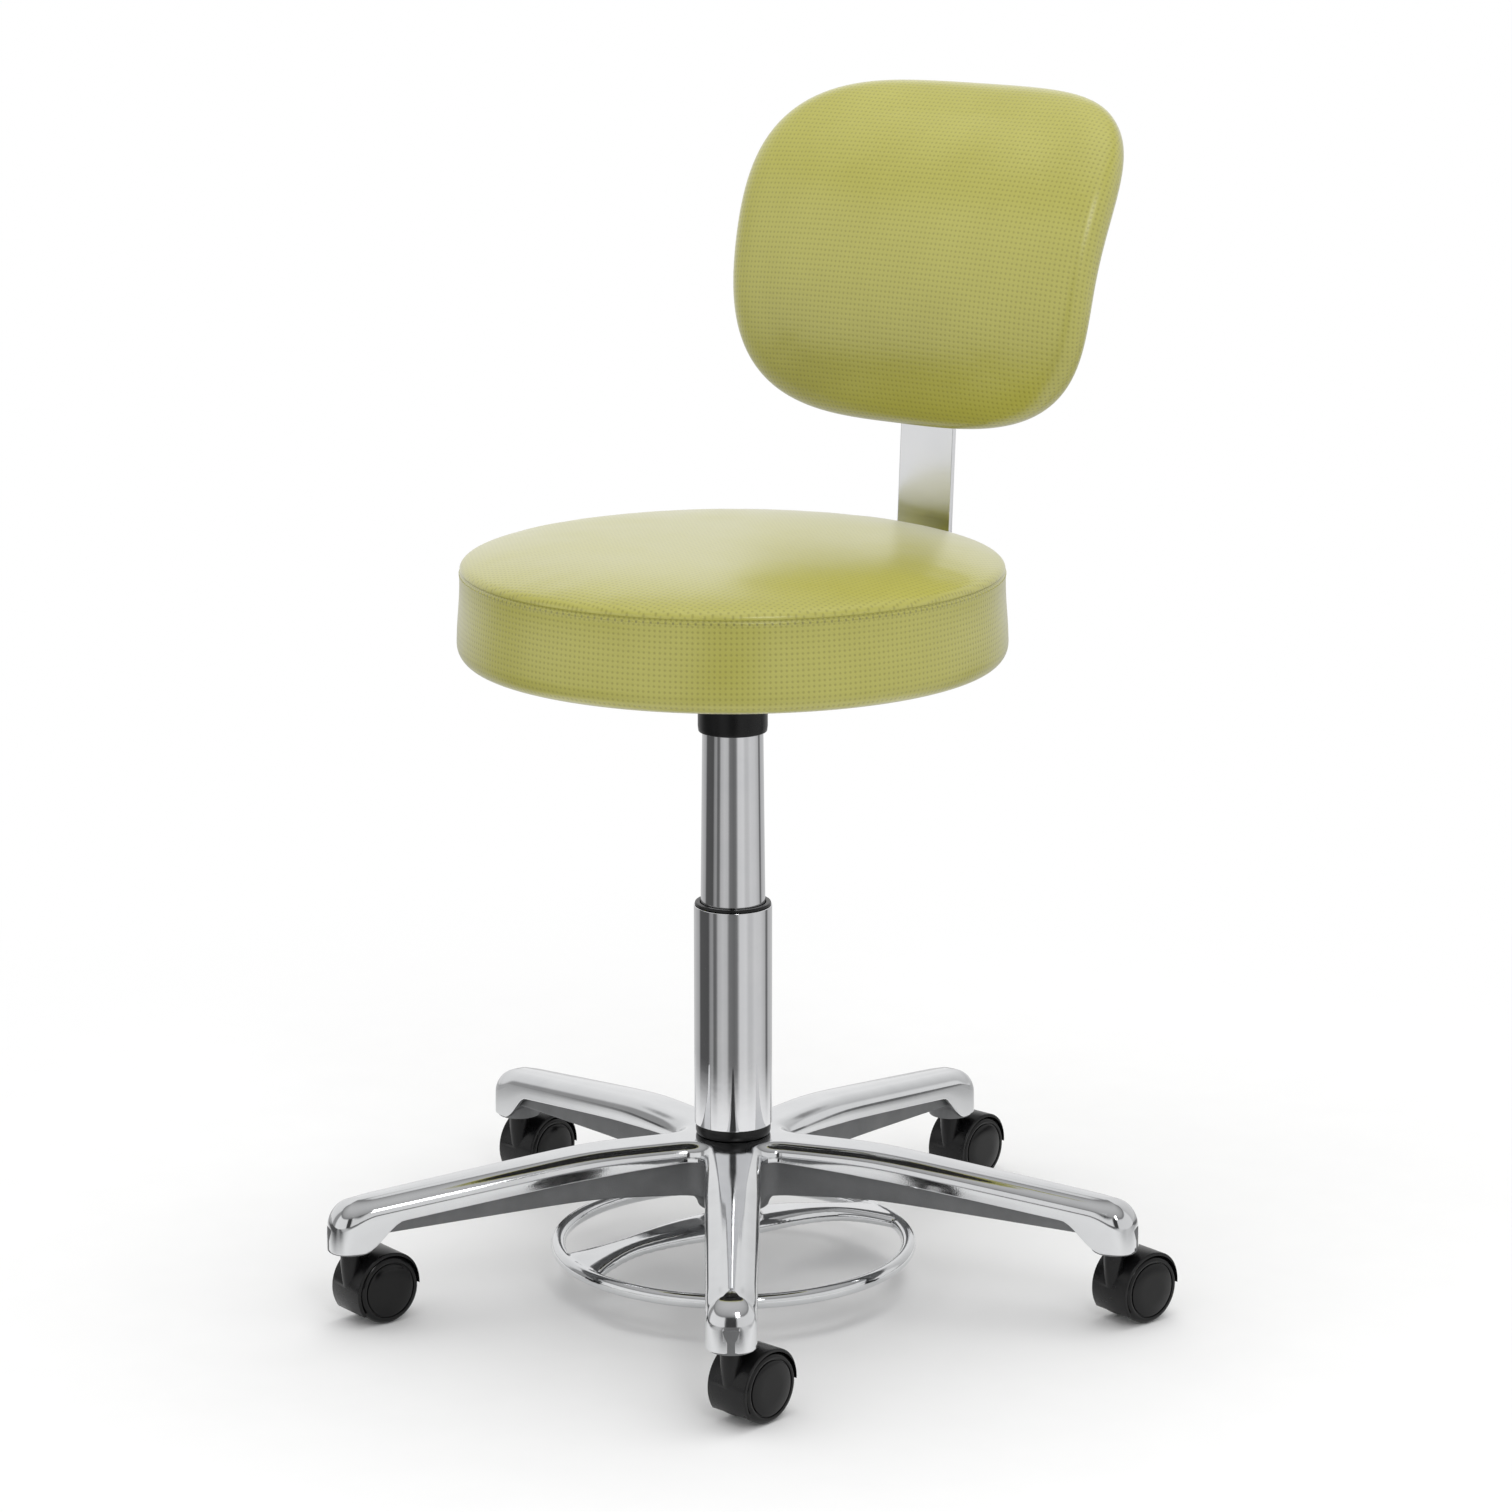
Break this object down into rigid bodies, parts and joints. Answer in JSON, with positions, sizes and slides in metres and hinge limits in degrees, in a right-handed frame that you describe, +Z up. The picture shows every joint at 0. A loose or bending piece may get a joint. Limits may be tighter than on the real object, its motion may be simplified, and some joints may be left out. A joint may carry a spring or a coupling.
{
  "type": "dentist stool",
  "caption": "Operator's stool with a round seat, curved backrest on an adjustable flat bar, gas lift column, foot release ring and a star base on twin-wheel casters.",
  "frame": {"origin": "on the floor under the column's axis", "axes": "+Z up along the column, -Y the front that the sitter faces, +Y the backrest's side"},
  "size_m": [0.6103, 0.6132, 0.8867],
  "materials": {
    "polished_aluminium": "polished",
    "chrome": "polished",
    "zinc_steel": "satin",
    "black_steel": "satin",
    "black_plastic": "satin",
    "vinyl": "satin",
    "plywood": "matte"
  },
  "bodies": {
    "base": {"star_base": "polished_aluminium", "outer_tube": "chrome", "base_gasket": "black_plastic", "guide_bush": "black_plastic", "gas_cylinder": "black_steel", "retaining_ring": "zinc_steel", "caster_1_stem": "zinc_steel", "caster_2_stem": "zinc_steel", "caster_3_stem": "zinc_steel", "caster_4_stem": "zinc_steel", "caster_5_stem": "zinc_steel"},
    "lift": {"inner_tube": "chrome", "guide_ring": "black_plastic", "gas_rod": "chrome", "gas_piston": "black_plastic", "tube_cap": "zinc_steel"},
    "seat": {"seat_plate": "black_steel", "seat_socket": "zinc_steel", "swivel_bush": "black_plastic", "seat_collar": "black_plastic", "seat_board": "plywood", "seat_cushion": "vinyl", "plate_bolt_1": "zinc_steel", "plate_bolt_2": "zinc_steel", "plate_bolt_3": "zinc_steel", "plate_bolt_4": "zinc_steel", "bar_bracket": "zinc_steel"},
    "back_bar": {"back_bar": "chrome"},
    "backrest": {"back_cushion": "vinyl", "back_board": "black_plastic", "back_bracket": "zinc_steel", "bracket_bolt_1": "zinc_steel", "bracket_bolt_2": "zinc_steel"},
    "height_knob": {"height_knob": "black_plastic"},
    "depth_knob": {"depth_knob": "black_plastic"},
    "foot_ring": {"foot_ring": "polished_aluminium", "rocker": "zinc_steel", "rocker_screw": "zinc_steel"},
    "valve_pin": {"valve_pin": "zinc_steel"},
    "caster_1": {"caster_1_hood": "black_plastic", "caster_1_axle": "zinc_steel"},
    "caster_1_left_wheel": {"caster_1_left_wheel": "black_plastic"},
    "caster_1_right_wheel": {"caster_1_right_wheel": "black_plastic"},
    "caster_2": {"caster_2_hood": "black_plastic", "caster_2_axle": "zinc_steel"},
    "caster_2_left_wheel": {"caster_2_left_wheel": "black_plastic"},
    "caster_2_right_wheel": {"caster_2_right_wheel": "black_plastic"},
    "caster_3": {"caster_3_hood": "black_plastic", "caster_3_axle": "zinc_steel"},
    "caster_3_left_wheel": {"caster_3_left_wheel": "black_plastic"},
    "caster_3_right_wheel": {"caster_3_right_wheel": "black_plastic"},
    "caster_4": {"caster_4_hood": "black_plastic", "caster_4_axle": "zinc_steel"},
    "caster_4_left_wheel": {"caster_4_left_wheel": "black_plastic"},
    "caster_4_right_wheel": {"caster_4_right_wheel": "black_plastic"},
    "caster_5": {"caster_5_hood": "black_plastic", "caster_5_axle": "zinc_steel"},
    "caster_5_left_wheel": {"caster_5_left_wheel": "black_plastic"},
    "caster_5_right_wheel": {"caster_5_right_wheel": "black_plastic"}
  },
  "joints": [
    {"name": "seat_height", "type": "slide", "parent": "base", "child": "lift", "axis": [0, 0, 1], "range_m": [-0.125, 0]},
    {"name": "seat_swivel", "type": "hinge", "parent": "lift", "child": "seat", "pos_m": [0, 0, 0.4433], "axis": [0, 0, 1], "continuous": true},
    {"name": "back_depth", "type": "slide", "parent": "seat", "child": "back_bar", "axis": [0, 1, 0], "range_m": [-0.012, 0.035]},
    {"name": "back_height", "type": "slide", "parent": "back_bar", "child": "backrest", "axis": [0, 0.3057, 0.9521], "range_m": [-0.02, 0.035]},
    {"name": "height_knob_turn", "type": "hinge", "parent": "backrest", "child": "height_knob", "pos_m": [0, 0.26128, 0.74495], "axis": [0, 0.9521, -0.3057], "range_deg": [0, 360]},
    {"name": "depth_knob_turn", "type": "hinge", "parent": "seat", "child": "depth_knob", "pos_m": [0, 0.1125, 0.4858], "axis": [0, 0, -1], "range_deg": [0, 360]},
    {"name": "ring_tilt", "type": "hinge", "parent": "base", "child": "foot_ring", "pos_m": [-0.00877, -0.02017, 0.068], "axis": [0.9171, -0.3987, 0], "range_deg": [0, 5.5], "stiffness_Nm_per_rad": 6, "springref_deg": -4.58},
    {"name": "valve_pin_lift", "type": "slide", "parent": "base", "child": "valve_pin", "axis": [0, 0, 1], "range_m": [0, 0.0022]},
    {"name": "caster_1_swivel", "type": "hinge", "parent": "base", "child": "caster_1", "pos_m": [0.18407, -0.23308, 0.058], "axis": [0, 0, 1], "continuous": true},
    {"name": "caster_1_left_spin", "type": "hinge", "parent": "caster_1", "child": "caster_1_left_wheel", "pos_m": [0.18566, -0.21033, 0.026], "axis": [0.9976, -0.0698, 0], "continuous": true},
    {"name": "caster_1_right_spin", "type": "hinge", "parent": "caster_1", "child": "caster_1_right_wheel", "pos_m": [0.18566, -0.21033, 0.026], "axis": [0.9976, -0.0698, 0], "continuous": true},
    {"name": "caster_2_swivel", "type": "hinge", "parent": "base", "child": "caster_2", "pos_m": [0.27855, 0.10304, 0.058], "axis": [0, 0, 1], "continuous": true},
    {"name": "caster_2_left_spin", "type": "hinge", "parent": "caster_2", "child": "caster_2_left_wheel", "pos_m": [0.28329, 0.12534, 0.026], "axis": [0.9781, -0.2079, 0], "continuous": true},
    {"name": "caster_2_right_spin", "type": "hinge", "parent": "caster_2", "child": "caster_2_right_wheel", "pos_m": [0.28329, 0.12534, 0.026], "axis": [0.9781, -0.2079, 0], "continuous": true},
    {"name": "caster_3_swivel", "type": "hinge", "parent": "base", "child": "caster_3", "pos_m": [-0.01192, 0.29676, 0.058], "axis": [0, 0, 1], "continuous": true},
    {"name": "caster_3_left_spin", "type": "hinge", "parent": "caster_3", "child": "caster_3_left_wheel", "pos_m": [-0.01073, 0.31953, 0.026], "axis": [0.9986, -0.0523, 0], "continuous": true},
    {"name": "caster_3_right_spin", "type": "hinge", "parent": "caster_3", "child": "caster_3_right_wheel", "pos_m": [-0.01073, 0.31953, 0.026], "axis": [0.9986, -0.0523, 0], "continuous": true},
    {"name": "caster_4_swivel", "type": "hinge", "parent": "base", "child": "caster_4", "pos_m": [-0.28592, 0.08037, 0.058], "axis": [0, 0, 1], "continuous": true},
    {"name": "caster_4_left_spin", "type": "hinge", "parent": "caster_4", "child": "caster_4_left_wheel", "pos_m": [-0.28473, 0.10314, 0.026], "axis": [0.9986, -0.0523, 0], "continuous": true},
    {"name": "caster_4_right_spin", "type": "hinge", "parent": "caster_4", "child": "caster_4_right_wheel", "pos_m": [-0.28473, 0.10314, 0.026], "axis": [0.9986, -0.0523, 0], "continuous": true},
    {"name": "caster_5_swivel", "type": "hinge", "parent": "base", "child": "caster_5", "pos_m": [-0.16479, -0.24709, 0.058], "axis": [0, 0, 1], "continuous": true},
    {"name": "caster_5_left_spin", "type": "hinge", "parent": "caster_5", "child": "caster_5_left_wheel", "pos_m": [-0.15966, -0.22487, 0.026], "axis": [0.9744, -0.225, 0], "continuous": true},
    {"name": "caster_5_right_spin", "type": "hinge", "parent": "caster_5", "child": "caster_5_right_wheel", "pos_m": [-0.15966, -0.22487, 0.026], "axis": [0.9744, -0.225, 0], "continuous": true}
  ],
  "couplings": [
    {"joint": "valve_pin_lift", "follows": "ring_tilt", "m_per_rad": 0.022}
  ]
}
